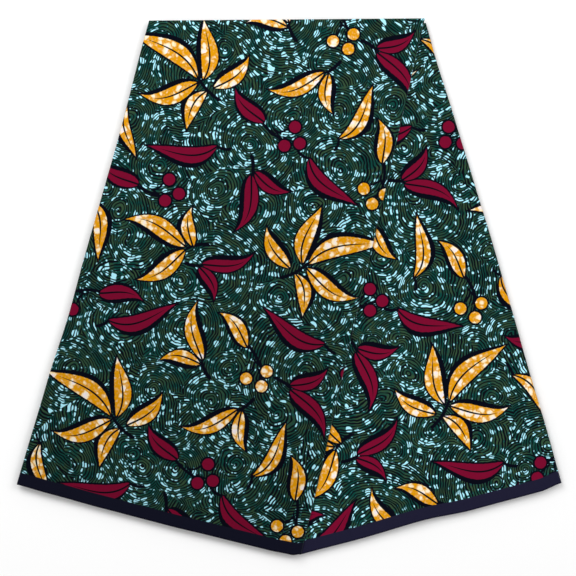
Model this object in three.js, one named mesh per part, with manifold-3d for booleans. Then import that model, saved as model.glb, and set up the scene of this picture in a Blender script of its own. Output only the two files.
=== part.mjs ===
import * as THREE from 'three';
import { mergeVertices } from 'three/addons/utils/BufferGeometryUtils.js';
import Module from 'manifold-3d';

const wasm = await Module();
wasm.setup();

// A length of wax printed cotton, folded in half across its width, folded again into
// flat panels and laid down with its front panel fanned out over the next one.
// Millimetres. +X is right, +Y runs up to the folded top edge, +Z is up off the table.

// The cloth
const clothWidth = 1170; // selvedge to selvedge
const frontLength = clothWidth / 2; // from the fold at the top to the selvedges
const slant = 6.2; // the fold line runs a little off the thread, so it is this much longer
const wall = 1.3; // a panel with the layer turned under it
const foldSwell = 0.5; // how much a folded edge springs up
const swellReach = 9; // how far in from the edge the swelling runs
const pressedReach = 30; // how far down a top edge that another panel presses stays flat
const airGap = 0.3; // between stretches that lie on each other
const layerHeight = 1.4; // one hidden fold, pressed flat

// The long edges, each from its end at the top fold. lean is in degrees from straight
// down, more than 0 towards +X.
const edges = {
  left: { x: -149.7, y: 284.5, lean: -15.93, length: 515.3 },
  foldLine: { x: 145, y: 286.9, lean: -12.93, length: frontLength + slant },
  right: { x: 146, y: 282.1, lean: 16.45, length: 512.6 },
  covered: { x: -146.2, y: 281.6, lean: 15.55, length: 589.2 },
};

// How far each side lies inside a straight line, or outside it where less than 0, at
// shares of the way down it
const leftBow = [
  { share: 0, inwards: 0 },
  { share: 0.28, inwards: 2.9 },
  { share: 0.5, inwards: 2.8 },
  { share: 0.63, inwards: 3.6 },
  { share: 0.78, inwards: 1.1 },
  { share: 1, inwards: 0 },
];
const rightBow = [
  { share: 0, inwards: 0 },
  { share: 0.08, inwards: 0.6 },
  { share: 0.2, inwards: -0.5 },
  { share: 0.35, inwards: -1.2 },
  { share: 0.47, inwards: -1.8 },
  { share: 0.62, inwards: -1.4 },
  { share: 0.76, inwards: -0.6 },
  { share: 0.87, inwards: -0.9 },
  { share: 1, inwards: 0 },
];
const straight = [
  { share: 0, inwards: 0 },
  { share: 1, inwards: 0 },
];

// How far each selvedge lies above a straight line, at shares of the way along it
const leftHem = [
  { share: 0, above: 0 },
  { share: 0.12, above: -0.9 },
  { share: 0.3, above: -1.9 },
  { share: 0.54, above: -2.2 },
  { share: 0.71, above: -1.4 },
  { share: 0.88, above: -0.9 },
  { share: 0.965, above: 0.3 },
  { share: 1, above: 3.4 },
];
const rightHem = [
  { share: 0, above: 0 },
  { share: 0.24, above: -0.8 },
  { share: 0.46, above: 0.6 },
  { share: 0.66, above: -2.7 },
  { share: 0.92, above: -3 },
  { share: 1, above: 0 },
];
const hemWaveReach = 60; // how far up the cloth the waves of a selvedge run

// Soft swells where a panel lifts off what it lies on. turn is the long way's angle in
// degrees from +X.
const leftSwells = [
  { x: -205, y: -20, turn: 72, halfLong: 150, halfWide: 34, height: 1.1 },
  { x: -112, y: 128, turn: 66, halfLong: 120, halfWide: 30, height: 0.8 },
  { x: -78, y: -172, turn: 80, halfLong: 90, halfWide: 36, height: 1.4 },
  { x: -228, y: -168, turn: 60, halfLong: 60, halfWide: 30, height: 1.6 },
  { x: 20, y: 60, turn: 74, halfLong: 130, halfWide: 32, height: 0.7 },
];
const rightSwells = [
  { x: 196, y: 6, turn: 104, halfLong: 140, halfWide: 24, height: 1.2 },
  { x: 128, y: -196, turn: 98, halfLong: 80, halfWide: 26, height: 1.9 },
  { x: 232, y: -150, turn: 110, halfLong: 74, halfWide: 22, height: 1.5 },
  { x: 70, y: -228, turn: 84, halfLong: 44, halfWide: 20, height: 0.9 },
];

// The hidden folds from the table up. inset is how far each lies inside the outline of
// the panels, and shiftX and turn are how far it has slipped.
const hiddenFolds = [
  { inset: 3.2, shiftX: 0.6, turn: 0.06 },
  { inset: 1.7, shiftX: -0.7, turn: -0.12 },
  { inset: 2.6, shiftX: 0.4, turn: 0.1 },
];
const leftFoldInset = 2.4; // the hidden fold that fills the left beside the covered edge
const foldRound = 0.6; // the rounded edge of a hidden fold
const foldOverlap = 0.06; // how far hidden folds press into each other, so that they are one

// Undersides of the two panels
const rightBase = hiddenFolds.length * layerHeight + foldOverlap + airGap;
const leftBase = rightBase + wall + airGap;

// Fineness
const acrossCount = 16;
const downCount = 26;
const nearEdge = [0, 3.5, 9]; // rows close to a folded edge
const edgeSteps = 4; // faces round an edge
const outlineSteps = 10; // points along one edge of a hidden fold

const green = 0x26402c;

function lerp(a, b, share) {
  return a + (b - a) * share;
}

// The value of one column of a table at a share, eased from row to row
function readTable(rows, column, share) {
  let last = rows[0];
  for (const row of rows) {
    if (row.share >= share) {
      const part = row === last ? 0 : (share - last.share) / (row.share - last.share);
      return lerp(last[column], row[column], (1 - Math.cos(Math.PI * part)) / 2);
    }
    last = row;
  }
  return last[column];
}

// A point on a long edge, moved inwards by its bow. inwardSide is 1 where inwards is +X.
function onEdge(edge, share, bow, inwardSide) {
  const lean = THREE.MathUtils.degToRad(edge.lean);
  const along = edge.length * share;
  const inwards = readTable(bow, 'inwards', share) * inwardSide;
  return {
    x: edge.x + Math.sin(lean) * along + Math.cos(lean) * inwards,
    y: edge.y - Math.cos(lean) * along + Math.sin(lean) * inwards,
  };
}

const panels = {
  left: {
    from: edges.left,
    fromBow: leftBow,
    to: edges.foldLine,
    toBow: straight,
    hem: leftHem,
    swells: leftSwells,
  },
  right: {
    from: edges.covered,
    fromBow: straight,
    to: edges.right,
    toBow: rightBow,
    hem: rightHem,
    swells: rightSwells,
  },
};

// A point of a panel seen from above, at shares of the way across and down it
function onPanel(panel, across, down) {
  const start = onEdge(panel.from, down, panel.fromBow, 1);
  const end = onEdge(panel.to, down, panel.toBow, -1);
  const fromHem = (1 - down) * panel.to.length;
  const fade = Math.exp(-((fromHem / hemWaveReach) ** 2));
  return {
    x: lerp(start.x, end.x, across),
    y: lerp(start.y, end.y, across) + readTable(panel.hem, 'above', across) * fade,
  };
}

function liftAt(swells, x, y) {
  let lift = 0;
  for (const swell of swells) {
    const turn = THREE.MathUtils.degToRad(swell.turn);
    const dx = x - swell.x;
    const dy = y - swell.y;
    const along = (dx * Math.cos(turn) + dy * Math.sin(turn)) / swell.halfLong;
    const beside = (dy * Math.cos(turn) - dx * Math.sin(turn)) / swell.halfWide;
    lift += swell.height * Math.exp(-along * along - beside * beside);
  }
  return lift;
}

// Places from 0 to length, close together at the ends that are listed as folded
function stations(length, count, foldedStart, foldedEnd) {
  const start = foldedStart ? nearEdge : [0];
  const end = (foldedEnd ? nearEdge : [0]).map((inset) => length - inset).reverse();
  const first = start[start.length - 1];
  const last = end[0];
  const between = [];
  for (let i = 1; i < count; i += 1) {
    between.push(lerp(first, last, i / count));
  }
  return [...start, ...between, ...end];
}

// A panel as a closed wall: its top and bottom follow the swells, and its edges are round
function panelWall(panel, base, folded) {
  const width = Math.hypot(panel.to.x - panel.from.x, panel.to.y - panel.from.y);
  const length = (panel.from.length + panel.to.length) / 2;
  const columns = stations(width, acrossCount, folded.start, folded.end);
  const rows = stations(length, downCount, folded.top, false);
  const swellAt = (inset) => foldSwell * Math.exp(-((inset / swellReach) ** 2));

  // round is the angle over the edge, from 0 on the top to pi underneath
  function pointAt(column, row, round) {
    const fromStart = columns[column];
    const fromTop = rows[row];
    const swell = Math.max(
      folded.start ? swellAt(fromStart) : 0,
      folded.end ? swellAt(width - fromStart) : 0,
      folded.top ? swellAt(fromTop) : 0,
    );
    const pressed = folded.top ? 0 : Math.exp(-((fromTop / pressedReach) ** 2));
    const half = (wall + swell * (1 - pressed)) / 2;
    const inset = half * (1 - Math.sin(round));
    const across = lerp(inset, width - inset, fromStart / width) / width;
    const down = lerp(inset, length - inset, fromTop / length) / length;
    const place = onPanel(panel, across, down);
    const lift = liftAt(panel.swells, place.x, place.y);
    return [place.x, place.y, base + lift + half + half * Math.cos(round)];
  }

  const points = [];
  const faces = [];
  const put = (point) => points.push(point) - 1;
  const sheet = (round) =>
    rows.map((_, row) => columns.map((__, column) => put(pointAt(column, row, round))));
  const quad = (a, b, c, d) => faces.push([a, b, c], [a, c, d]);

  // The edge of the sheet as [column, row] pairs, anticlockwise from above
  const right = columns.length - 1;
  const bottom = rows.length - 1;
  const rim = [];
  rows.slice(0, -1).forEach((_, row) => rim.push([0, row]));
  columns.slice(0, -1).forEach((_, column) => rim.push([column, bottom]));
  rows.slice(1).forEach((_, row) => rim.push([right, bottom - row]));
  columns.slice(1).forEach((_, column) => rim.push([right - column, 0]));

  const top = sheet(0);
  const under = sheet(Math.PI);
  for (let row = 0; row < bottom; row += 1) {
    for (let column = 0; column < right; column += 1) {
      quad(top[row][column], top[row + 1][column], top[row + 1][column + 1], top[row][column + 1]);
      quad(under[row][column], under[row][column + 1], under[row + 1][column + 1], under[row + 1][column]);
    }
  }
  const loops = [rim.map(([column, row]) => top[row][column])];
  for (let step = 1; step < edgeSteps; step += 1) {
    const round = (Math.PI * step) / edgeSteps;
    loops.push(rim.map(([column, row]) => put(pointAt(column, row, round))));
  }
  loops.push(rim.map(([column, row]) => under[row][column]));
  for (let level = 0; level < edgeSteps; level += 1) {
    rim.forEach((_, i) => {
      const next = (i + 1) % rim.length;
      quad(loops[level][i], loops[level + 1][i], loops[level + 1][next], loops[level][next]);
    });
  }

  const geometry = new THREE.BufferGeometry();
  geometry.setAttribute('position', new THREE.Float32BufferAttribute(points.flat(), 3));
  geometry.setIndex(faces.flat());
  geometry.computeVertexNormals();
  return geometry;
}

// The outline of the cloth, or of its left part only, moved inwards, anticlockwise
function outline(inset, rightRun, bow) {
  const { left, right } = panels;
  const path = [];
  for (let i = 0; i < outlineSteps; i += 1) {
    path.push(onEdge(edges.left, i / outlineSteps, leftBow, 1));
  }
  for (let i = 0; i < outlineSteps; i += 1) {
    path.push(onPanel(left, i / outlineSteps, 1));
  }
  if (rightRun === edges.right) {
    for (let i = 0; i < outlineSteps; i += 1) {
      path.push(onPanel(right, i / outlineSteps, 1));
    }
  }
  for (let i = 0; i < outlineSteps; i += 1) {
    path.push(onEdge(rightRun, 1 - i / outlineSteps, bow, -1));
  }
  if (rightRun === edges.right) {
    path.push(onEdge(rightRun, 0, bow, -1));
  }
  return movedInwards(path, inset);
}

// Each point of a closed path moved to the left of the way it runs
function movedInwards(path, distance) {
  return path.map((point, i) => {
    const before = path[(i + path.length - 1) % path.length];
    const after = path[(i + 1) % path.length];
    const ways = [
      new THREE.Vector2(point.x - before.x, point.y - before.y).normalize(),
      new THREE.Vector2(after.x - point.x, after.y - point.y).normalize(),
    ];
    const normal = new THREE.Vector2(-ways[0].y - ways[1].y, ways[0].x + ways[1].x).normalize();
    const reach = distance / Math.max(0.3, normal.dot(new THREE.Vector2(-ways[0].y, ways[0].x)));
    return new THREE.Vector2(point.x + normal.x * reach, point.y + normal.y * reach);
  });
}

// One hidden fold: a flat plate with a round edge
function foldPlate(path, base, height) {
  const depth = height - 2 * foldRound;
  const geometry = new THREE.ExtrudeGeometry(new THREE.Shape(path), {
    depth,
    bevelThickness: foldRound,
    bevelSize: foldRound,
    bevelOffset: -foldRound,
    bevelSegments: 2,
    curveSegments: 1,
  });
  geometry.translate(0, 0, base + foldRound);
  return geometry;
}

function toSolid(geometry) {
  const bare = geometry.clone();
  bare.deleteAttribute('normal');
  bare.deleteAttribute('uv');
  const merged = mergeVertices(bare, 1e-4);
  return new wasm.Manifold(
    new wasm.Mesh({
      numProp: 3,
      vertProperties: new Float32Array(merged.attributes.position.array),
      triVerts: new Uint32Array(merged.index.array),
    }),
  );
}

function fromSolid(solid) {
  const mesh = solid.getMesh();
  const geometry = new THREE.BufferGeometry();
  geometry.setAttribute('position', new THREE.Float32BufferAttribute(mesh.vertProperties, 3));
  geometry.setIndex(Array.from(mesh.triVerts));
  geometry.computeVertexNormals();
  return geometry;
}

// The folds under the panels, pressed into one solid that shows its layers at the edges
function hiddenLayers() {
  let stack;
  hiddenFolds.forEach((fold, i) => {
    const path = outline(fold.inset, edges.right, rightBow);
    const plate = foldPlate(path, i * layerHeight, layerHeight + foldOverlap);
    plate.rotateZ(THREE.MathUtils.degToRad(fold.turn));
    plate.translate(fold.shiftX, 0, 0);
    stack = stack ? stack.add(toSolid(plate)) : toSolid(plate);
  });
  const path = outline(leftFoldInset, edges.covered, straight);
  const base = hiddenFolds.length * layerHeight;
  const plate = foldPlate(path, base, leftBase - airGap - base);
  return fromSolid(stack.add(toSolid(plate)));
}

function addPiece(group, name, geometry) {
  const material = new THREE.MeshStandardMaterial({ color: green, roughness: 0.85, metalness: 0 });
  const mesh = new THREE.Mesh(geometry, material);
  mesh.name = name;
  group.add(mesh);
}

const group = new THREE.Group();
addPiece(group, 'left_panel', panelWall(panels.left, leftBase, { start: true, end: true, top: true }));
addPiece(group, 'right_panel', panelWall(panels.right, rightBase, { start: false, end: true, top: false }));
addPiece(group, 'hidden_layers', hiddenLayers());

export default group;
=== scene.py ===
import math

import bmesh
import bpy
import numpy as np
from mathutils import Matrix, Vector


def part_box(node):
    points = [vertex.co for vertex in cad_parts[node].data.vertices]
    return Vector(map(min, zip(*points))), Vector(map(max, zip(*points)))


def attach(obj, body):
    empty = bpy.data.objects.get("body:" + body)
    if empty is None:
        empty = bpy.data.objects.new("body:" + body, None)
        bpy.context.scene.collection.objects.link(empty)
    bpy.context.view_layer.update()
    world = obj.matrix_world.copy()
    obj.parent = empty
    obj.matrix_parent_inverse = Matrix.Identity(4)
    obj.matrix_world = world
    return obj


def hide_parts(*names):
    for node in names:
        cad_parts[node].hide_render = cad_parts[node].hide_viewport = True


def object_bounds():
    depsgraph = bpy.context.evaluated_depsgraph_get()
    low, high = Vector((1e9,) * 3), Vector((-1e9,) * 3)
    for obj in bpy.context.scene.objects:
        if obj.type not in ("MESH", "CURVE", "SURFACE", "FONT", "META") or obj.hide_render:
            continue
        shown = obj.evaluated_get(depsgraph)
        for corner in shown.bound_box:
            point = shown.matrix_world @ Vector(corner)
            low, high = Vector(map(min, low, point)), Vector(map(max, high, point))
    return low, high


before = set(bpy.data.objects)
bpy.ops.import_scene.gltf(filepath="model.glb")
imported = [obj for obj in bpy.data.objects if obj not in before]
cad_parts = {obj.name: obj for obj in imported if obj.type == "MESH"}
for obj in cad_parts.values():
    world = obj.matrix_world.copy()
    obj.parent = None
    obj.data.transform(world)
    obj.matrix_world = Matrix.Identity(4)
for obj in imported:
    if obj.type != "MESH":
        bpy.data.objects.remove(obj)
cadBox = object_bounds()
print("frame loaded")

millimetre = 0.001

# The photo's view: straight down on the cloth, its up side along +Y
view = {
    "pixels": 576,
    "metresPerPixel": 1.0675 * millimetre,
    "centreX": -1.3 * millimetre,
    "centreY": -1.2 * millimetre,
    "distance": 3.4,
    "farthest": 20,  # the camera sees this far
}

# How the cloth lies, in millimetres as in its pattern: each long edge from the top fold
# down, lean in degrees from straight down, bow = (share of the way, how far inwards)
longEdges = {
    "left": {
        "top": (-149.7, 284.5), "lean": -15.93, "length": 515.3,
        "bow": [(0, 0), (0.28, 2.9), (0.5, 2.8), (0.63, 3.6), (0.78, 1.1), (1, 0)],
    },
    "foldLine": {"top": (145, 286.9), "lean": -12.93, "length": 591.2, "bow": [(0, 0), (1, 0)]},
    "right": {
        "top": (146, 282.1), "lean": 16.45, "length": 512.6,
        "bow": [
            (0, 0), (0.08, 0.6), (0.2, -0.5), (0.35, -1.2), (0.47, -1.8), (0.62, -1.4),
            (0.76, -0.6), (0.87, -0.9), (1, 0),
        ],
    },
    "covered": {"top": (-146.2, 281.6), "lean": 15.55, "length": 589.2, "bow": [(0, 0), (1, 0)]},
}


def addPiece(name, mesh):
    piece = bpy.data.objects.new(name, mesh)
    bpy.context.scene.collection.objects.link(piece)
    return piece


def meshFrom(name, bm):
    mesh = bpy.data.meshes.new(name)
    bm.to_mesh(mesh)
    bm.free()
    return mesh


# A soft step through the rows (share, value) of a short table
def eased(rows, share):
    shares, values = (np.array(column, float) for column in zip(*rows))
    row = np.clip(np.searchsorted(shares, share, side="right") - 1, 0, len(rows) - 2)
    part = np.clip((share - shares[row]) / (shares[row + 1] - shares[row]), 0, 1)
    return values[row] + (values[row + 1] - values[row]) * (1 - np.cos(np.pi * part)) / 2


# Points on a long edge; inwards is 1 where the cloth lies on its +X side, else -1
def onEdge(name, share, inwards):
    edge = longEdges[name]
    lean, along = math.radians(edge["lean"]), edge["length"] * share
    bow = eased(edge["bow"], share) * inwards
    x = edge["top"][0] + math.sin(lean) * along + math.cos(lean) * bow
    y = edge["top"][1] - math.cos(lean) * along + math.sin(lean) * bow
    return x, y


# Points of a panel from above, at shares across and down it
def onPanel(panel, across, down):
    startX, startY = onEdge(panel["startEdge"], down, 1)
    endX, endY = onEdge(panel["endEdge"], down, -1)
    fromHem = (1 - down) * longEdges[panel["endEdge"]]["length"]
    hem = eased(panel["hem"], across) * np.exp(-((fromHem / sheetForm["hemReach"]) ** 2))
    return startX + (endX - startX) * across, startY + (endY - startY) * across + hem


def cosineAndSine(degrees):
    return math.cos(math.radians(degrees)), math.sin(math.radians(degrees))


# The lift of all soft swells and creases (x, y, turn, half length, half width, height)
def liftAt(rows, x, y):
    lift = np.zeros_like(x)
    for centreX, centreY, turn, halfLong, halfWide, height in rows:
        cosine, sine = cosineAndSine(turn)
        along = ((x - centreX) * cosine + (y - centreY) * sine) / halfLong
        beside = ((y - centreY) * cosine - (x - centreX) * sine) / halfWide
        lift += height * np.exp(-along * along - beside * beside)
    return lift


# The print: sprigs of leaves and berries, thrown over a repeat. Millimetres on the flat
# cloth, x across it and y down it, each sprig growing from its foot at 0, 0 along +x.
motif = {
    "leaf": 0, "stem": 1, "berry": 2,  # the kinds of shape
    "berryRadius": 6.3,
    "nothing": -9,  # a half width that no point lies within
}


def shape(kind, x, y, turn, length, halfWidth, bend=0, wave=0, shade=0):
    return {
        "kind": motif[kind], "x": x, "y": y, "turn": turn, "length": length, "halfWidth": halfWidth,
        "bend": bend, "wave": wave, "shade": shade,
    }


def leaf(x, y, turn, length, halfWidth, bend, wave, shade):
    return shape("leaf", x, y, turn, length, halfWidth, bend, wave, shade)


def stem(x, y, turn, length, halfWidth, bend):
    return shape("stem", x, y, turn, length, halfWidth, bend)


def berry(x, y):
    return shape("berry", x, y, 0, motif["berryRadius"], motif["berryRadius"])


sprigs = {
    "spray": [
        stem(-26, -5, 12, 34, 1.9, -2.5),
        leaf(-9, -5, -96, 46, 7.5, 6, 2, 1), leaf(-13, 2, 104, 50, 7.7, 6, -2, -1),
        leaf(4, -3, -46, 62, 9, -8, 4, 1), leaf(1, 3, 56, 64, 9, 6, 4, -1), leaf(7, 1, 0, 84, 10, 9, 5, 1),
    ],
    "trio": [
        stem(-20, 4, -14, 24, 2, 2), leaf(-4, 1, 86, 42, 7.1, -5, 2, -1),
        leaf(4, -3, -34, 60, 8.6, -6, 3, 1), leaf(4, 1, 22, 70, 9.4, 8, -4, -1),
    ],
    "pair": [
        stem(-18, -3, 10, 20, 2.1, -1),
        leaf(2, 2, 30, 62, 7.6, -8, 4, 1), leaf(0, -2, -48, 43, 6.7, 6, -2, -1),
    ],
    "single": [stem(-14, 3, -14, 16, 1.8, 1.5), leaf(0, 0, 0, 74, 8.3, 9, 6, 1)],
    "berries": [
        stem(-12, -4, 18, 40, 1.8, 3), stem(10, 2, 44, 16, 1.2, -2),
        stem(14, 3, -50, 16, 1.2, 2), stem(22, 5, -4, 14, 1.2, 1),
        berry(27, 13), berry(41, 4), berry(29, -10), leaf(-3, -1, 205, 47, 7.8, -5, 3, 0.4),
    ],
}

printPlan = {
    "across": 318, "down": 372,  # the repeat
    "maxSpan": 100,  # no shape reaches further from its foot
    "farAway": 99.0,  # a shape this far off isn't looked for
    "outline": 1.9, "shadeWidth": 1.8, "midribWidth": 1, "midribShare": 0.84,
    # how quickly leaves narrow towards the root and the tip, and stems along their way
    "goldRoot": 0.86, "maroonRoot": 0.68, "tipTaper": 1.22, "stemTaper": 0.2,
    # sprig, colour, x, y, turn, size, flip
    "sprigs": [
        ("spray", "gold", 96, 62, 200, 1, 1),
        ("pair", "gold", 222, 18, 118, 1, 1),
        ("single", "gold", 252, 84, -72, 0.9, 1),
        ("berries", "maroon", 173, 88, 10, 1, 1),
        ("berries", "gold", 304, 101, 96, 1, -1),
        ("single", "maroon", 128, 124, 166, 1, -1),
        ("pair", "maroon", 172, 142, 62, 1, 1),
        ("single", "maroon", 226, 112, 30, 0.95, 1),
        ("berries", "maroon", 60, 185, -8, 1, 1),
        ("spray", "gold", 248, 226, -30, 1, -1),
        ("single", "gold", 8, 212, 66, 0.9, -1),
        ("trio", "gold", 126, 236, 168, 1, 1),
        ("pair", "maroon", 142, 252, 4, 0.9, -1),
        ("berries", "maroon", 42, 308, 150, 1, 1),
        ("single", "maroon", 62, 333, -28, 1, 1),
        ("pair", "gold", 170, 352, -140, 1, 1),
        ("berries", "gold", 215, 326, 62, 1, -1),
        ("single", "maroon", 292, 300, 196, 1, -1),
        ("pair", "maroon", 267, 354, 10, 1, 1),
        ("single", "gold", 24, 106, 66, 0.75, 1),
    ],
}


# Every shape of one repeat as columns of numbers. The column maroon is 1 or 0.
def printedShapes():
    rows = []
    for name, colour, footX, footY, turn, size, flip in printPlan["sprigs"]:
        cosine, sine = cosineAndSine(turn)
        for part in sprigs[name]:
            x, y = part["x"] * size, part["y"] * size * flip
            rows.append((
                part["kind"], footX + cosine * x - sine * y, footY + sine * x + cosine * y,
                math.radians(turn + part["turn"] * flip), part["length"] * size, part["halfWidth"] * size,
                part["bend"] * size * flip, part["wave"] * size * flip, part["shade"] * flip,
                int(colour == "maroon"),
            ))
    names = ("kind", "x", "y", "turn", "length", "halfWidth", "bend", "wave", "shade", "maroon")
    return dict(zip(names, np.array(rows, float).T))


# What the dye knows at points x, y of the flat cloth about one shape each: how far across
# the shape the point is, the half width filled with colour, the half width of its midrib,
# and the first two again for its dark outline, which is fuller on the shaded side
def dyeAt(shapes, x, y):
    cosine, sine = np.cos(shapes["turn"]), np.sin(shapes["turn"])
    fromX, fromY = x - shapes["x"], y - shapes["y"]
    share = (fromX * cosine + fromY * sine) / shapes["length"]
    crown = 4 * share * (1 - share)
    across = fromY * cosine - fromX * sine - (shapes["bend"] + shapes["wave"] * (1 - 2 * share)) * crown
    inside = np.clip(share, 0, 1)
    root = np.where(shapes["maroon"] == 1, printPlan["maroonRoot"], printPlan["goldRoot"])
    tip = printPlan["tipTaper"]
    fullest = root / (root + tip)
    halfWidth = shapes["halfWidth"] * np.sign(crown) * (
        (np.abs(share) / fullest) ** root * (np.abs(1 - share) / (1 - fullest)) ** tip
    )
    midrib = printPlan["midribWidth"] * (1 - (inside / printPlan["midribShare"]) ** 3)
    shade = printPlan["shadeWidth"] * crown
    inkAcross, inkWidth = across - shapes["shade"] * shade, halfWidth + shade
    pastEnds = np.maximum(0, np.maximum(-share, share - 1)) * shapes["length"]
    stemWidth = shapes["halfWidth"] * (1 - printPlan["stemTaper"] * share) - printPlan["outline"] - pastEnds
    isLeaf, isStem, isBerry = (shapes["kind"] == motif[kind] for kind in ("leaf", "stem", "berry"))
    radius = np.hypot(fromX, fromY)
    across = np.where(isBerry, radius, across)
    inkAcross = np.where(isBerry, radius, np.where(isStem, across, inkAcross))
    inkWidth = np.where(isBerry, shapes["halfWidth"], np.where(isStem, stemWidth, inkWidth))
    halfWidth = np.where(isBerry, shapes["halfWidth"], np.where(isStem, motif["nothing"], halfWidth))
    midrib = np.where(isLeaf, midrib, motif["nothing"])
    return across, halfWidth, midrib, inkAcross, inkWidth


# The numbers of the repeats that reach places along one side of the cloth
def repeatsAlong(places, size):
    reach = printPlan["maxSpan"]
    return range(int((places.min() - reach) // size), int((places.max() + reach) // size) + 1)


# The two shapes nearest to each point, in drawing order. Each is its repeat's place in the
# list times the count of shapes, plus its own number, or -1 where there is none.
def nearestShapes(shapes, repeats, x, y):
    count = len(shapes["kind"])
    nearest = np.full((2, len(x)), printPlan["farAway"])
    chosen = np.full((2, len(x)), -1)
    for number, (right, below) in enumerate(repeats):
        for i in range(count):
            one = {key: column[i] for key, column in shapes.items()}
            one["x"] += right * printPlan["across"]
            one["y"] += below * printPlan["down"]
            near = np.flatnonzero(np.hypot(x - one["x"], y - one["y"]) < printPlan["maxSpan"])
            if not len(near):
                continue
            across, halfWidth, _, inkAcross, inkWidth = dyeAt(one, x[near], y[near])
            away = np.minimum(np.abs(across) - halfWidth, np.abs(inkAcross) - inkWidth)
            closest = away < nearest[0, near]
            runnerUp = ~closest & (away < nearest[1, near])
            pushed = near[closest]  # what was nearest here comes second now
            nearest[1, pushed], chosen[1, pushed] = nearest[0, pushed], chosen[0, pushed]
            for level, found in enumerate((closest, runnerUp)):
                nearest[level, near[found]] = away[found]
                chosen[level, near[found]] = number * count + i
    chosen.sort(axis=0)  # what comes later in the plan is drawn over what comes earlier
    return chosen


# The print on a mesh whose UV map "cloth" is the flat cloth in metres. Each face looks up
# its nearest two shapes, and its corners carry how far they are from their edges.
def layPrint(mesh):
    corners = np.empty(len(mesh.loops) * 2)
    mesh.uv_layers["cloth"].uv.foreach_get("vector", corners)
    corners = corners.reshape(-1, 2) / millimetre
    starts, totals = (np.empty(len(mesh.polygons), int) for _ in range(2))
    mesh.polygons.foreach_get("loop_start", starts)
    mesh.polygons.foreach_get("loop_total", totals)
    faceOfCorner = np.repeat(np.arange(len(starts)), totals)
    centres = np.add.reduceat(corners, starts) / totals[:, None]
    repeats = [
        (right, below)
        for right in repeatsAlong(centres[:, 0], printPlan["across"])
        for below in repeatsAlong(centres[:, 1], printPlan["down"])
    ]
    shapes = printedShapes()
    count = len(shapes["kind"])
    chosen = nearestShapes(shapes, repeats, centres[:, 0], centres[:, 1])
    offsets = np.array(repeats, float)
    for level, name in enumerate(("under", "over")):
        shapeOfCorner = chosen[level][faceOfCorner]
        known = shapeOfCorner >= 0
        index = np.where(known, shapeOfCorner % count, 0)
        tile = offsets[np.where(known, shapeOfCorner // count, 0)]
        columns = {key: column[index] for key, column in shapes.items()}
        columns["x"] = columns["x"] + tile[:, 0] * printPlan["across"]
        columns["y"] = columns["y"] + tile[:, 1] * printPlan["down"]
        across, halfWidth, midrib, inkAcross, inkWidth = dyeAt(columns, corners[:, 0], corners[:, 1])
        fill = np.stack([across, np.where(known, halfWidth, motif["nothing"]), midrib], axis=1)
        ink = np.stack([inkAcross, np.where(known, inkWidth, motif["nothing"]), columns["maroon"]], axis=1)
        for part, values in (("Fill", fill), ("Ink", ink)):
            layer = mesh.attributes.new(name + part, "FLOAT_VECTOR", "CORNER")
            layer.data.foreach_set("vector", values.astype(np.float32).ravel())


# Nodes: a value that is a socket is linked, and any other is set
def addNode(tree, kind, inputs=None, **settings):
    node = tree.nodes.new(kind)
    for key, value in settings.items():
        setattr(node, key, value)
    for key, value in (inputs or {}).items():
        if isinstance(value, bpy.types.NodeSocket):
            tree.links.new(value, node.inputs[key])
        else:
            node.inputs[key].default_value = value
    return node


def maths(tree, operation, *values):
    return addNode(tree, "ShaderNodeMath", dict(enumerate(values)), operation=operation).outputs[0]


def vectorMaths(tree, operation, *values):
    return addNode(tree, "ShaderNodeVectorMath", dict(enumerate(values)), operation=operation).outputs[0]


def between(tree, share, first, second):
    return maths(tree, "MULTIPLY_ADD", maths(tree, "SUBTRACT", second, first), share, first)


def blendColours(tree, share, first, second):
    node = addNode(tree, "ShaderNodeMix", {0: share, 6: first, 7: second}, data_type="RGBA")
    return node.outputs[2]


def brightened(tree, colour, factor):
    node = addNode(tree, "ShaderNodeVectorMath", {0: colour, "Scale": factor}, operation="SCALE")
    return node.outputs[0]


# A value carried from the range low to high over to another, and held at its ends
def remapped(tree, value, low, high, toLow, toHigh, easing="LINEAR"):
    inputs = {0: value, 1: low, 2: high, 3: toLow, 4: toHigh}
    return addNode(tree, "ShaderNodeMapRange", inputs, interpolation_type=easing).outputs[0]


# 1 where value is under limit, with an edge this soft
def under(tree, value, limit, soft):
    return remapped(tree, value, limit - soft, limit + soft, 1.0, 0.0, "SMOOTHSTEP")


def noiseAt(tree, place, scale, detail, output="Fac"):
    inputs = {"Vector": place, "Scale": scale, "Detail": detail}
    return addNode(tree, "ShaderNodeTexNoise", inputs, noise_dimensions="2D").outputs[output]


def cellsAt(tree, place, scale, scatter):
    inputs = {"Vector": place, "Scale": scale, "Randomness": scatter}
    return addNode(tree, "ShaderNodeTexVoronoi", inputs, voronoi_dimensions="2D").outputs


def partsOf(tree, vector):
    return addNode(tree, "ShaderNodeSeparateXYZ", {0: vector}).outputs


def attributeAt(tree, name, output="Fac"):
    return addNode(tree, "ShaderNodeAttribute", attribute_name=name).outputs[output]


def srgb(red, green, blue):
    def linear(value):
        value /= 255
        return value / 12.92 if value <= 0.04045 else ((value + 0.055) / 1.055) ** 2.4

    return (linear(red), linear(green), linear(blue), 1)


dye = {
    "olive": srgb(47, 71, 49),
    "teal": srgb(7, 59, 53),
    "seep": srgb(26, 88, 90),  # where dye has crept under a drop's edge
    "line": srgb(7, 11, 18),
    "lightBlue": srgb(162, 220, 234),
    "gold": srgb(204, 138, 4),
    "offWhite": srgb(234, 218, 181),
    "bareCotton": srgb(225, 214, 217),  # in the middle of the widest blots
    "maroon": srgb(109, 8, 40),
    "ink": srgb(5, 7, 18),
    "selvedge": srgb(15, 16, 30),
    # the selvedge painted lighter where more light and sheen fall on it, a painted light
    "selvedgePaintedLit": srgb(30, 29, 50),
    "paintedLightGain": 0.2,  # how much lighter the print is painted where more light and sheen fall on it, a painted light
}

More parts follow.
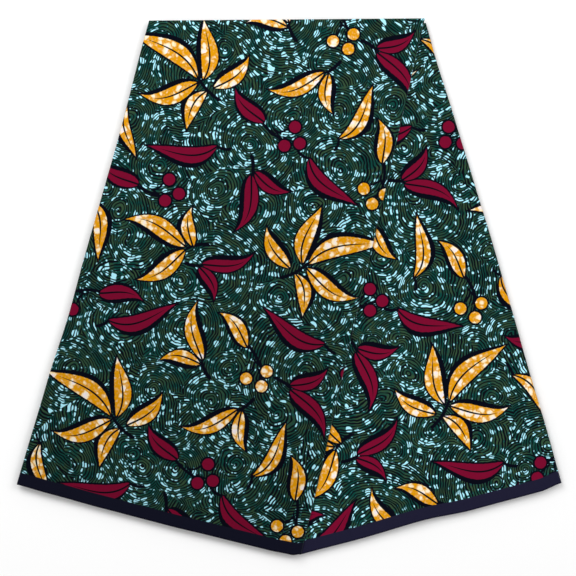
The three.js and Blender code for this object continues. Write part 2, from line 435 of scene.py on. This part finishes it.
# The ground's flow. Scales are of noise, per metre.
swirls = {
    "spacings": (52 * millimetre, 104 * millimetre),  # between small eddies, and between wide ones
    "scatter": 0.9,  # how freely eddies and drops leave their rows
    "twist": 1.4,  # more than 0.5 makes some rings spirals
    "patchScale": 14.0,  # of the patches with small eddies or wide ones
    "pitch": 2.75 * millimetre,  # from line to line
    "lineShare": 0.51, "lineSoft": 0.1,  # how much of the pitch is dark, and how soft its edge is
    "uneven": 0.4,  # how much wider some lines are than others
    "thinnerOverWax": 0.05,
    "wobbleScale": 90.0, "wobble": 1.3, "lineWobble": 0.3,  # of where lines run, and of their width
    "together": 4,  # lines that one drop of wax can cover
    "smallestRing": 2.0,  # a drop's arc is measured as on this ring at least
    "warpSize": 60 * millimetre, "warp": 16 * millimetre,
    # how much larger drops are in some places, and smaller in others
    "clusterSize": 26 * millimetre, "clusterSwing": 0.34, "clusterShift": -0.165,
    "slip": 0.9 * millimetre,  # how unevenly the dashes beside each other end
}

# Drops of wax that stay light blue: the room for each along and across the lines, how much
# of it the largest fills, and how much smaller the rest are
waxDrops = [
    {"along": 11 * millimetre, "across": 9.4 * millimetre, "largest": 0.42, "fewer": 0.8},
    {"along": 6.6 * millimetre, "across": 5 * millimetre, "largest": 0.375, "fewer": 0.9},
]

# Round a drop: how far outside its edge each dye reaches, and how softly it ends
dropEdge = {
    "crossed": 0.84,  # the share of drops that the dark lines cross
    "blueSoft": 0.25 * millimetre,
    "seepReach": 0.75 * millimetre, "seepSoft": 0.6 * millimetre, "seepShare": 0.75,
    "halo": 1.3 * millimetre,
}

# Patches of teal in the olive, where a noise rises from low to high
greenTone = {"scale": 75.0, "low": 0.36, "high": 0.64, "most": 0.95}


# Rings and spirals about scattered centres: the ring that a point is on, as a number whose
# fraction is its place between two lines, and how far round the ring it is
def eddiesAt(tree, place, spacing):
    cells = cellsAt(tree, place, 1 / spacing, swirls["scatter"])
    away = vectorMaths(tree, "SUBTRACT", place, cells["Position"])
    radius = addNode(tree, "ShaderNodeVectorMath", {0: away}, operation="LENGTH").outputs["Value"]
    parts = partsOf(tree, away)
    turn = maths(tree, "ARCTAN2", parts[1], parts[0])
    chance = partsOf(tree, cells["Color"])
    spiral = maths(tree, "MULTIPLY_ADD", chance[0], 2 * swirls["twist"], -swirls["twist"])
    rings = maths(tree, "MULTIPLY_ADD", radius, 1 / swirls["pitch"], chance[1])
    turns = maths(tree, "DIVIDE", turn, 2 * math.pi)
    ring = maths(tree, "MULTIPLY_ADD", turns, maths(tree, "ROUND", spiral), rings)
    return ring, turn


# The ring and the turn at a point, from small eddies or wide ones, and the small wobble
# that the lines take
def flowAt(tree, cloth):
    bend = noiseAt(tree, cloth, 1 / swirls["warpSize"], 1.0, "Color")
    bend = vectorMaths(tree, "SUBTRACT", bend, (0.5, 0.5, 0.5))
    warped = vectorMaths(tree, "MULTIPLY_ADD", bend, (swirls["warp"],) * 3, cloth)
    small, wide = (eddiesAt(tree, warped, spacing) for spacing in swirls["spacings"])
    patch = maths(tree, "GREATER_THAN", noiseAt(tree, cloth, swirls["patchScale"], 0.0), 0.5)
    ring, turn = (between(tree, patch, *pair) for pair in zip(small, wide))
    wobble = noiseAt(tree, cloth, swirls["wobbleScale"], 1.0)
    return maths(tree, "MULTIPLY_ADD", wobble, swirls["wobble"], ring), turn, wobble


# How far outside the nearest drop of wax a point is, in metres, and whether the drop is one
# that the dark lines do not cross
def waxAt(tree, along, over, clusters):
    nearest, plain = 1.0, 0.0
    for drops in waxDrops:
        column = maths(tree, "DIVIDE", along, drops["along"])
        row = maths(tree, "DIVIDE", over, drops["across"])
        place = addNode(tree, "ShaderNodeCombineXYZ", {0: column, 1: row}).outputs[0]
        cells = cellsAt(tree, place, 1.0, swirls["scatter"])
        chance = partsOf(tree, cells["Color"])
        size = maths(tree, "MULTIPLY_ADD", chance[0], drops["fewer"], drops["largest"] - drops["fewer"])
        size = maths(tree, "ADD", size, clusters)
        edge = maths(tree, "MULTIPLY", maths(tree, "SUBTRACT", cells["Distance"], size), drops["across"])
        closer = maths(tree, "LESS_THAN", edge, nearest)
        whole = maths(tree, "GREATER_THAN", chance[1], dropEdge["crossed"])
        plain = between(tree, closer, plain, whole)
        nearest = maths(tree, "MINIMUM", edge, nearest)
    return nearest, plain


# The printed ground: dark lines that run in eddies over green, with light blue dashes
def swirlGround(tree, cloth):
    ring, turn, wobble = flowAt(tree, cloth)
    lane = maths(tree, "FLOOR", ring)
    slip = addNode(tree, "ShaderNodeTexWhiteNoise", {"W": lane}, noise_dimensions="1D").outputs["Value"]

    # Drops lie in the flow, and as one over the few lines that run together
    together = swirls["together"]
    group = maths(tree, "FLOOR", maths(tree, "DIVIDE", ring, together))
    radius = maths(tree, "MULTIPLY_ADD", group, together, together / 2)
    radius = maths(tree, "MAXIMUM", radius, swirls["smallestRing"])
    along = maths(tree, "MULTIPLY", turn, maths(tree, "MULTIPLY", radius, swirls["pitch"]))
    along = maths(tree, "MULTIPLY_ADD", slip, swirls["slip"], along)
    clusters = noiseAt(tree, cloth, 1 / swirls["clusterSize"], 1.0)
    clusters = maths(tree, "MULTIPLY_ADD", clusters, swirls["clusterSwing"], swirls["clusterShift"])
    edge, plain = waxAt(tree, along, maths(tree, "MULTIPLY", ring, swirls["pitch"]), clusters)

    blue = under(tree, edge, 0.0, dropEdge["blueSoft"])
    seep = under(tree, edge, dropEdge["seepReach"], dropEdge["seepSoft"])
    halo = under(tree, edge, dropEdge["halo"], dropEdge["halo"])
    tone = noiseAt(tree, cloth, greenTone["scale"], 2.0)
    tone = remapped(tree, tone, greenTone["low"], greenTone["high"], 0.0, greenTone["most"])
    green = blendColours(tree, maths(tree, "MAXIMUM", halo, tone), dye["olive"], dye["teal"])
    green = blendColours(tree, maths(tree, "MULTIPLY", seep, dropEdge["seepShare"]), green, dye["seep"])
    ground = blendColours(tree, blue, green, dye["lightBlue"])

    # 0 halfway between two lines and 1 in the middle of either, which is dark past lineEdge
    fromMiddle = maths(tree, "ABSOLUTE", maths(tree, "MULTIPLY_ADD", maths(tree, "FRACT", ring), 2.0, -1.0))
    gap = 1 - swirls["lineShare"] - swirls["lineWobble"] / 2 - swirls["uneven"] / 2
    lineEdge = maths(tree, "MULTIPLY_ADD", blue, swirls["thinnerOverWax"], gap)
    lineEdge = maths(tree, "MULTIPLY_ADD", wobble, swirls["lineWobble"], lineEdge)
    lineEdge = maths(tree, "MULTIPLY_ADD", slip, swirls["uneven"], lineEdge)
    fromEdge = maths(tree, "SUBTRACT", fromMiddle, lineEdge)
    line = remapped(tree, fromEdge, -swirls["lineSoft"], swirls["lineSoft"], 0.0, 1.0, "SMOOTHSTEP")
    crossed = maths(tree, "SUBTRACT", 1.0, maths(tree, "MULTIPLY", blue, plain))
    return blendColours(tree, maths(tree, "MULTIPLY", line, crossed), ground, dye["line"])


goldBlots = {
    "room": 7.8 * millimetre,  # for each blot
    "scatter": 0.85,
    "shiverScale": 170.0, "shiver": 5.5 * millimetre,  # how far their outlines stray
    # half widths as shares of the room, fewer large ones where rarity is more than 1
    "smallest": 0.03, "growth": 0.57, "rarity": 1.6, "soft": 0.16,
    "bareInside": 0.26, "bareSoft": 0.12,
    "mottleScale": 300.0, "mottleLow": 0.51, "mottleHigh": 0.84, "haze": 0.35,
}


# Gold dye with the pale, soft, rounded blots that the wax leaves
def goldDye(tree, cloth):
    shiver = noiseAt(tree, cloth, goldBlots["shiverScale"], 2.0, "Color")
    moved = vectorMaths(tree, "MULTIPLY_ADD", shiver, (goldBlots["shiver"],) * 3, cloth)
    cells = cellsAt(tree, moved, 1 / goldBlots["room"], goldBlots["scatter"])
    chance = maths(tree, "POWER", partsOf(tree, cells["Color"])[0], goldBlots["rarity"])
    size = maths(tree, "MULTIPLY_ADD", chance, goldBlots["growth"], goldBlots["smallest"])
    fromBlot = maths(tree, "SUBTRACT", cells["Distance"], size)
    blot = under(tree, fromBlot, 0.0, goldBlots["soft"])
    bare = under(tree, fromBlot, -goldBlots["bareInside"], goldBlots["bareSoft"])
    mottle = noiseAt(tree, cloth, goldBlots["mottleScale"], 1.0)
    haze = remapped(tree, mottle, goldBlots["mottleLow"], goldBlots["mottleHigh"], 0.0, goldBlots["haze"])
    gold = blendColours(tree, maths(tree, "MAXIMUM", blot, haze), dye["gold"], dye["offWhite"])
    return blendColours(tree, bare, gold, dye["bareCotton"])


# The motifs' edges: how far they stray and how soft they are, in millimetres
dyeEdge = {
    "bleedScale": 380.0,  # of a noise, per metre
    "bleed": 0.9, "soft": 0.2, "midribSoft": 0.15,
}


# Leaves, berries and stems over the ground, from the values that layPrint left
def motifsOver(tree, cloth, ground):
    bleed = maths(tree, "SUBTRACT", noiseAt(tree, cloth, dyeEdge["bleedScale"], 1.0), 0.5)
    bleed = maths(tree, "MULTIPLY", bleed, dyeEdge["bleed"])
    colour, gold = ground, goldDye(tree, cloth)
    for name in ("under", "over"):
        fillAcross, fillWidth, midrib = partsOf(tree, attributeAt(tree, name + "Fill", "Vector"))
        inkAcross, inkWidth, isMaroon = partsOf(tree, attributeAt(tree, name + "Ink", "Vector"))
        inkEdge = maths(tree, "SUBTRACT", maths(tree, "ABSOLUTE", inkAcross), inkWidth)
        inked = under(tree, maths(tree, "ADD", inkEdge, bleed), printPlan["outline"], dyeEdge["soft"])
        colour = blendColours(tree, inked, colour, dye["ink"])
        across = maths(tree, "ABSOLUTE", fillAcross)
        ribbed = under(tree, maths(tree, "SUBTRACT", across, midrib), 0.0, dyeEdge["midribSoft"])
        leafColour = blendColours(tree, isMaroon, gold, dye["maroon"])
        leafColour = blendColours(tree, ribbed, leafColour, dye["ink"])
        fillEdge = maths(tree, "ADD", maths(tree, "SUBTRACT", across, fillWidth), bleed)
        colour = blendColours(tree, under(tree, fillEdge, 0.0, dyeEdge["soft"]), colour, leafColour)
    return colour


# Threads of a plain weave: uneven ones across and down, and the bump of their crossings
weave = {
    "pitch": 0.42 * millimetre, "bump": 0.35, "depth": 0.12 * millimetre,
    "slub": 0.07, "slubScale": 42.0, "slubLength": 26,  # times as long as it is wide
    "slubHeight": 0.8,  # against the crossings
}


def weaveTint(tree, cloth, colour):
    threads = []
    for stretch in ((1, weave["slubLength"], 1), (weave["slubLength"], 1, 1)):
        stretched = vectorMaths(tree, "MULTIPLY", cloth, stretch)
        threads.append(noiseAt(tree, stretched, weave["slubScale"], 2.0))
    both = maths(tree, "ADD", *threads)
    tone = maths(tree, "MULTIPLY_ADD", both, 2 * weave["slub"], 1 - 2 * weave["slub"])
    return brightened(tree, colour, tone), both


def weaveBump(tree, cloth, threads):
    parts = partsOf(tree, cloth)
    rows = [maths(tree, "SINE", maths(tree, "MULTIPLY", parts[i], math.pi / weave["pitch"])) for i in (0, 1)]
    height = maths(tree, "MULTIPLY_ADD", threads, weave["slubHeight"], maths(tree, "MULTIPLY", *rows))
    inputs = {"Height": height, "Strength": weave["bump"], "Distance": weave["depth"]}
    return addNode(tree, "ShaderNodeBump", inputs).outputs[0]


selvedge = {"width": 13.4 * millimetre, "soft": 0.25 * millimetre}
foldWearAndHighlight = {"strength": 0.28, "patchScale": 60.0, "colour": srgb(120, 130, 128)}  # dye rubbed off, and a painted highlight where the crests of folded edges catch light
finish = {"Sheen Weight": 0.015, "Sheen Roughness": 0.45, "Specular IOR Level": 0.02}
roughness = {"between": 0.86, "onSlubs": -0.12}  # threads that stand up are smoother


def newMaterial(name):
    material = bpy.data.materials.new(name)
    material.use_nodes = True
    tree = material.node_tree
    return material, tree, next(node for node in tree.nodes if node.type == "BSDF_PRINCIPLED")


def printedCotton():
    material, tree, shader = newMaterial("printedCotton")
    cloth = addNode(tree, "ShaderNodeUVMap", uv_map="cloth").outputs[0]
    # Painted light: the print and the selvedge are painted lighter towards the top and on the right panel,
    # and darker towards the left panel's hem, where light and sheen fall unevenly
    paintedLight = attributeAt(tree, "paintedLight")
    colour = motifsOver(tree, cloth, swirlGround(tree, cloth))
    colour = brightened(tree, colour, maths(tree, "MULTIPLY_ADD", paintedLight, dye["paintedLightGain"], 1.0))
    band = under(tree, attributeAt(tree, "fromHem"), selvedge["width"], selvedge["soft"])
    bandColour = blendColours(tree, paintedLight, dye["selvedge"], dye["selvedgePaintedLit"])
    colour = blendColours(tree, band, colour, bandColour)
    # Rubbed dye and a painted highlight along the crests of folded edges
    patchy = noiseAt(tree, cloth, foldWearAndHighlight["patchScale"], 2.0)
    rubbedAndHighlit = maths(tree, "MULTIPLY", patchy, foldWearAndHighlight["strength"])
    rubbedAndHighlit = maths(tree, "MULTIPLY", attributeAt(tree, "foldEdge"), rubbedAndHighlit)
    colour = blendColours(tree, rubbedAndHighlit, colour, foldWearAndHighlight["colour"])
    tinted, threads = weaveTint(tree, cloth, colour)
    rough = maths(tree, "MULTIPLY_ADD", threads, roughness["onSlubs"], roughness["between"])
    tree.links.new(tinted, shader.inputs["Base Color"])
    tree.links.new(rough, shader.inputs["Roughness"])
    tree.links.new(weaveBump(tree, cloth, threads), shader.inputs["Normal"])
    for socket, value in finish.items():
        shader.inputs[socket].default_value = value
    return material


# lifts are x, y, turn, half length, half width and height: first swells, then creases
panels = {
    "leftPanel": {
        "node": "left_panel", "startEdge": "left", "endEdge": "foldLine",
        "hem": [
            (0, 0), (0.12, -0.9), (0.3, -1.9), (0.54, -2.2), (0.71, -1.4), (0.88, -0.9),
            (0.965, 0.3), (1, 3.4),
        ],
        "grain": -14.45, "printX": 24, "printY": 12, "paintedLight": (1, -0.6),  # painted light, at the top and at the hem
        "lifts": [
            (-205, -20, 72, 150, 34, 1.1), (-112, 128, 66, 120, 30, 0.8), (-78, -172, 80, 90, 36, 1.4),
            (-228, -168, 60, 60, 30, 1.6), (20, 60, 74, 130, 32, 0.7),
            (-150, 60, 78, 90, 5, 0.35), (-58, -30, 70, 70, 6, -0.3), (-176, -120, 100, 50, 4.5, 0.4),
            (40, 190, 96, 44, 5, 0.35), (-34, -214, 62, 36, 5, 0.45),
        ],
    },
    "rightPanel": {
        "node": "right_panel", "startEdge": "covered", "endEdge": "right",
        "hem": [(0, 0), (0.24, -0.8), (0.46, 0.6), (0.66, -2.7), (0.92, -3), (1, 0)],
        # painted light, at the top and at the hem
        "grain": 15.3, "printX": 372, "printY": 120, "paintedLight": (0.6, 1.1),
        "lifts": [
            (196, 6, 104, 140, 24, 1.2), (128, -196, 98, 80, 26, 1.9), (232, -150, 110, 74, 22, 1.5),
            (70, -228, 84, 44, 20, 0.9),
            (158, 196, 112, 46, 4.5, 0.4), (170, 120, 99, 60, 5, -0.3), (212, -70, 108, 70, 5, 0.45),
            (150, -120, 92, 60, 6, 0.35), (104, -226, 104, 40, 5, 0.6), (256, -180, 114, 34, 4.5, 0.5),
        ],
    },
}

# The folds underneath, from the table up. inset is how far one lies inside the outline of
# the panels, shiftX how far it has slipped to +X, and turn is in degrees.
foldColumns = ("base", "height", "inset", "shiftX", "turn", "endEdge")
foldRows = {
    "bottom": (0, 0.72, 3.1, 0.6, 0.06, "right"),
    "second": (0.74, 0.66, 2.3, 0.2, -0.04, "right"),
    "third": (1.42, 0.66, 1.6, -0.6, -0.12, "right"),
    "fourth": (2.1, 0.68, 2.4, -0.2, -0.03, "right"),
    "fifth": (2.8, 0.68, 2.2, 0.5, 0.1, "right"),
    "sixth": (3.5, 0.72, 2.9, 0.2, 0.05, "right"),
    "seventh": (4.26, 0.78, 2.2, -0.3, -0.05, "covered"),
    "top": (5.06, 0.78, 2.6, 0.2, 0.08, "covered"),
}
hiddenFolds = {name: dict(zip(foldColumns, row)) for name, row in foldRows.items()}

foldForm = {
    "bottomSpacing": 3, "spacing": 8,  # between the grid's lines
    "widest": {"right": 582, "covered": 312},
    "flat": {"right": (620, 610), "covered": (330, 610)},
    "area": {"right": 0.27, "covered": 0.095},
    "hemPoints": 40,  # of each panel, that a fold's lower edge follows
    "sagReach": 190, "grains": (-14.45, 15.3), "evenInset": 2,
    "mostInset": 0.4,  # of the width
    "printStepX": 90, "printStepY": 140,  # from fold to fold
    # painted light on the folds underneath
    "paintedLight": 0.3,
}

sheetForm = {
    "spacing": 2.2,  # between the lines of a panel's grid
    "hemReach": 60,  # how far up the cloth the waves of a selvedge run
    "wall": 1.3, "foldSwell": 0.5, "swellReach": 9, "pressedReach": 30,
    "arcSteps": 4, "lipSteps": (2, 6, 13),  # a folded edge turns under by this much
    "cotton": 0.34 * millimetre,  # the cloth's own thickness
}


# A grid of shares across and down, rolled round at its sides and top. Each vertex comes
# with how far round the edge it is, and how far it has turned under.
def rolledGrid(columns, rows):
    bm = bmesh.new()
    bmesh.ops.create_grid(bm, x_segments=columns, y_segments=rows, size=0.5)
    roundLayer = bm.verts.layers.float.new("round")
    lipLayer = bm.verts.layers.float.new("lip")
    hem = -0.499  # below this is the last row, a selvedge that lies open
    rim = [edge for edge in bm.edges if edge.is_boundary and max(v.co.y for v in edge.verts) > hem]
    arcSteps = sheetForm["arcSteps"]
    levels = [(math.pi * (step + 1) / arcSteps, 0) for step in range(arcSteps)]
    levels += [(math.pi, reach) for reach in sheetForm["lipSteps"]]
    for angle, reach in levels:
        made = bmesh.ops.extrude_edge_only(bm, edges=rim)["geom"]
        fresh = {item for item in made if isinstance(item, bmesh.types.BMVert)}
        rim = [item for item in made if isinstance(item, bmesh.types.BMEdge) and set(item.verts) <= fresh]
        for vertex in fresh:
            vertex[roundLayer], vertex[lipLayer] = angle, reach
    values = np.array([(v.co.x + 0.5, 0.5 - v.co.y, v[roundLayer], v[lipLayer]) for v in bm.verts])
    bm.verts.layers.float.remove(lipLayer)
    bm.verts.layers.float.remove(bm.verts.layers.float["round"])  # a removal makes roundLayer stale
    return bm, values.T


# Puts a rolled grid in its place, with its flat cloth as the UV map "cloth"
def placeSheet(name, bm, place, cloth, onPoints, material, facesDown=False):
    uvLayer = bm.loops.layers.uv.new("cloth")
    for i, vertex in enumerate(bm.verts):
        vertex.co = [value[i] * millimetre for value in place]
        for corner in vertex.link_loops:
            corner[uvLayer].uv = [value[i] * millimetre for value in cloth]
    for face in bm.faces:
        face.smooth = True
    if facesDown:
        bmesh.ops.reverse_faces(bm, faces=bm.faces)
    mesh = meshFrom(name, bm)
    for layerName, values in onPoints.items():
        layer = mesh.attributes.new(layerName, "FLOAT", "POINT")
        layer.data.foreach_set("value", values.astype(np.float32))
    layPrint(mesh)
    mesh.materials.append(material)
    piece = addPiece(name, mesh)
    shell = piece.modifiers.new("clothThickness", "SOLIDIFY")
    shell.thickness, shell.offset = sheetForm["cotton"], -1
    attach(piece, "root")
    print(name, len(mesh.polygons), "faces")
    return piece


# What the material reads at the points of a sheet: how far each is from the selvedge in metres, how near the
# crest of a folded edge, where a highlight is painted, and how much painted light it takes
def pointValues(fromHem, angle, paintedLight):
    return {
        "fromHem": fromHem * millimetre,
        "foldEdge": np.sqrt(np.maximum(np.sin(angle), 0)),
        "paintedLight": np.zeros_like(angle) + paintedLight,
    }


# The flat cloth at points as they lie, its threads running at grain degrees
def clothAt(x, y, grain, printX, printY):
    cosine, sine = cosineAndSine(grain)
    return x * cosine + y * sine + printX, x * sine - y * cosine + printY


# One stretch of the cloth that shows: pressed where the other one lies on it
def makePanel(name, panel, material):
    startEdge, endEdge = (longEdges[panel[key]] for key in ("startEdge", "endEdge"))
    width = math.dist(startEdge["top"], endEdge["top"])
    length = (startEdge["length"] + endEdge["length"]) / 2
    spacing = sheetForm["spacing"]
    bm, (across, down, angle, reach) = rolledGrid(round(width / spacing), round(length / spacing))

    def insetBy(inset):
        return (inset + (width - 2 * inset) * across) / width, (inset + (length - inset) * down) / length

    def swellAt(distance):
        return sheetForm["foldSwell"] * np.exp(-((distance / sheetForm["swellReach"]) ** 2))

    swell = swellAt((1 - across) * width)
    if panel["startEdge"] == "covered":
        swell = swell * (1 - np.exp(-((down * length / sheetForm["pressedReach"]) ** 2)))
    else:
        swell = np.maximum(swell, np.maximum(swellAt(across * width), swellAt(down * length)))
    half = (sheetForm["wall"] + swell) / 2
    x, y = onPanel(panel, *insetBy(half * (1 - np.sin(angle)) + reach))
    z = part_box(panel["node"])[0][2] / millimetre + liftAt(panel["lifts"], x, y) + half * (1 + np.cos(angle))
    clothX, clothY = onPanel(panel, *insetBy(half * (1 - angle) - reach))
    clothX, clothY = clothX - startEdge["top"][0], clothY - startEdge["top"][1]
    cloth = clothAt(clothX, clothY, panel["grain"], panel["printX"], panel["printY"])
    fromHem = (1 - down) * (startEdge["length"] + (endEdge["length"] - startEdge["length"]) * across)
    # painted light, from the top of the panel to its hem
    paintedLight = panel["paintedLight"][0] * (1 - down) + panel["paintedLight"][1] * down
    piece = placeSheet(name, bm, (x, y, z), cloth, pointValues(fromHem, angle, paintedLight), material)

    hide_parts(panel["node"])


# One fold of the cloth underneath. The bottom one shows its face to the table.
def makeFold(name, fold, number, material):
    start, endEdge, inset = longEdges["left"], fold["endEdge"], fold["inset"]
    topWidth = math.dist(start["top"], longEdges[endEdge]["top"])
    spacing = foldForm["bottomSpacing"] if name == "bottom" else foldForm["spacing"]
    widest = foldForm["widest"][endEdge]
    bm, (across, down, angle, reach) = rolledGrid(round(widest / spacing), round(start["length"] / spacing))
    alongHem, atHem = np.linspace(0, 1, foldForm["hemPoints"]), np.ones(foldForm["hemPoints"])
    hemX, hemY = np.concatenate([onPanel(panel, alongHem, atHem) for panel in panels.values()], axis=1)
    order = np.argsort(hemX)
    lowStart, lowEnd = onEdge("left", np.ones(1), 1), onEdge(endEdge, np.ones(1), -1)

    def placeAt(inward):
        shareDown = (inward + (start["length"] - inward - inset) * down) / start["length"]
        startX, startY = onEdge("left", shareDown, 1)
        endX, endY = onEdge(endEdge, shareDown, -1)
        span = topWidth + (widest - topWidth) * shareDown
        beside = np.minimum(inward, foldForm["mostInset"] * span)
        share = (beside + (span - 2 * beside) * across) / span
        lowX, lowY = (first + (second - first) * share for first, second in zip(lowStart, lowEnd))
        sag = np.interp(lowX, hemX[order], hemY[order]) - lowY
        sag = sag * np.exp(-(((1 - shareDown) * start["length"] / foldForm["sagReach"]) ** 2))
        x, y = startX + (endX - startX) * share, startY + (endY - startY) * share + sag
        cosine, sine = cosineAndSine(fold["turn"])
        return x * cosine - y * sine + fold["shiftX"], x * sine + y * cosine

    half = fold["height"] / 2
    x, y = placeAt(inset + half * (1 - np.sin(angle)) + reach)
    z = fold["base"] + half * (1 + np.cos(angle))
    if name == "bottom":
        z = 2 * (fold["base"] + half) - z
    clothX, clothY = placeAt(inset + half * (1 - angle) - reach)
    printX, printY = foldForm["printStepX"] * number, foldForm["printStepY"] * number
    cloth = clothAt(clothX, clothY, foldForm["grains"][number % 2], printX, printY)
    fromHem = (1 - down) * start["length"] - (inset - foldForm["evenInset"])
    values = pointValues(fromHem, angle, foldForm["paintedLight"])
    piece = placeSheet(name + "Fold", bm, (x, y, z), cloth, values, material, facesDown=name == "bottom")
    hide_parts("hidden_layers")


# The pale table, the soft room and the lamps over it, in metres and watts
studio = {
    "tableSize": 8, "tableHeight": -0.0002, "tableColour": (0.96, 0.96, 0.96, 1), "tableRoughness": 0.9,
    "roomColour": (1, 1, 1, 1), "roomStrength": 0.55,
    "lamps": {
        "softBoxLeft": {"place": (-0.9, 1.5, 1.8), "size": 1.5, "power": 34},
        "softBoxRight": {"place": (1.6, 0.9, 2.1), "size": 1.6, "power": 24},
    },
}


def addTable():
    bm = bmesh.new()
    bmesh.ops.create_grid(bm, x_segments=1, y_segments=1, size=studio["tableSize"])
    table = addPiece("table", meshFrom("table", bm))
    table.location.z = studio["tableHeight"]
    material, _, shader = newMaterial("paleTable")
    shader.inputs["Base Color"].default_value = studio["tableColour"]
    shader.inputs["Roughness"].default_value = studio["tableRoughness"]
    table.data.materials.append(material)


def addLight():
    world = bpy.data.worlds.new("softRoom")
    bpy.context.scene.world = world
    world.use_nodes = True
    background = next(node for node in world.node_tree.nodes if node.type == "BACKGROUND")
    background.inputs[0].default_value = studio["roomColour"]
    background.inputs[1].default_value = studio["roomStrength"]
    for name, lamp in studio["lamps"].items():
        light = bpy.data.lights.new(name, "AREA")
        light.shape, light.size, light.energy = "SQUARE", lamp["size"], lamp["power"]
        softBox = bpy.data.objects.new(name, light)
        softBox.location = lamp["place"]
        bpy.context.scene.collection.objects.link(softBox)
        softBox.rotation_euler = (-softBox.location).to_track_quat("-Z", "Y").to_euler()


def addCamera():
    lens = bpy.data.cameras.new("camera")
    lens.lens_unit = "FOV"
    span = view["pixels"] * view["metresPerPixel"]
    lens.angle = 2 * math.atan(span / 2 / view["distance"])
    lens.clip_end = view["farthest"]
    camera = bpy.data.objects.new("camera", lens)
    camera.location = (view["centreX"], view["centreY"], view["distance"] + cadBox[1][2])
    bpy.context.scene.collection.objects.link(camera)
    bpy.context.scene.camera = camera


bpy.context.scene.view_settings.view_transform = "Standard"
addCamera()
addTable()
addLight()
print("camera and light ready")
cotton = printedCotton()
for number, (name, fold) in enumerate(hiddenFolds.items()):
    makeFold(name, fold, number, cotton)
for name, panel in panels.items():
    makePanel(name, panel, cotton)
print("cloth ready")
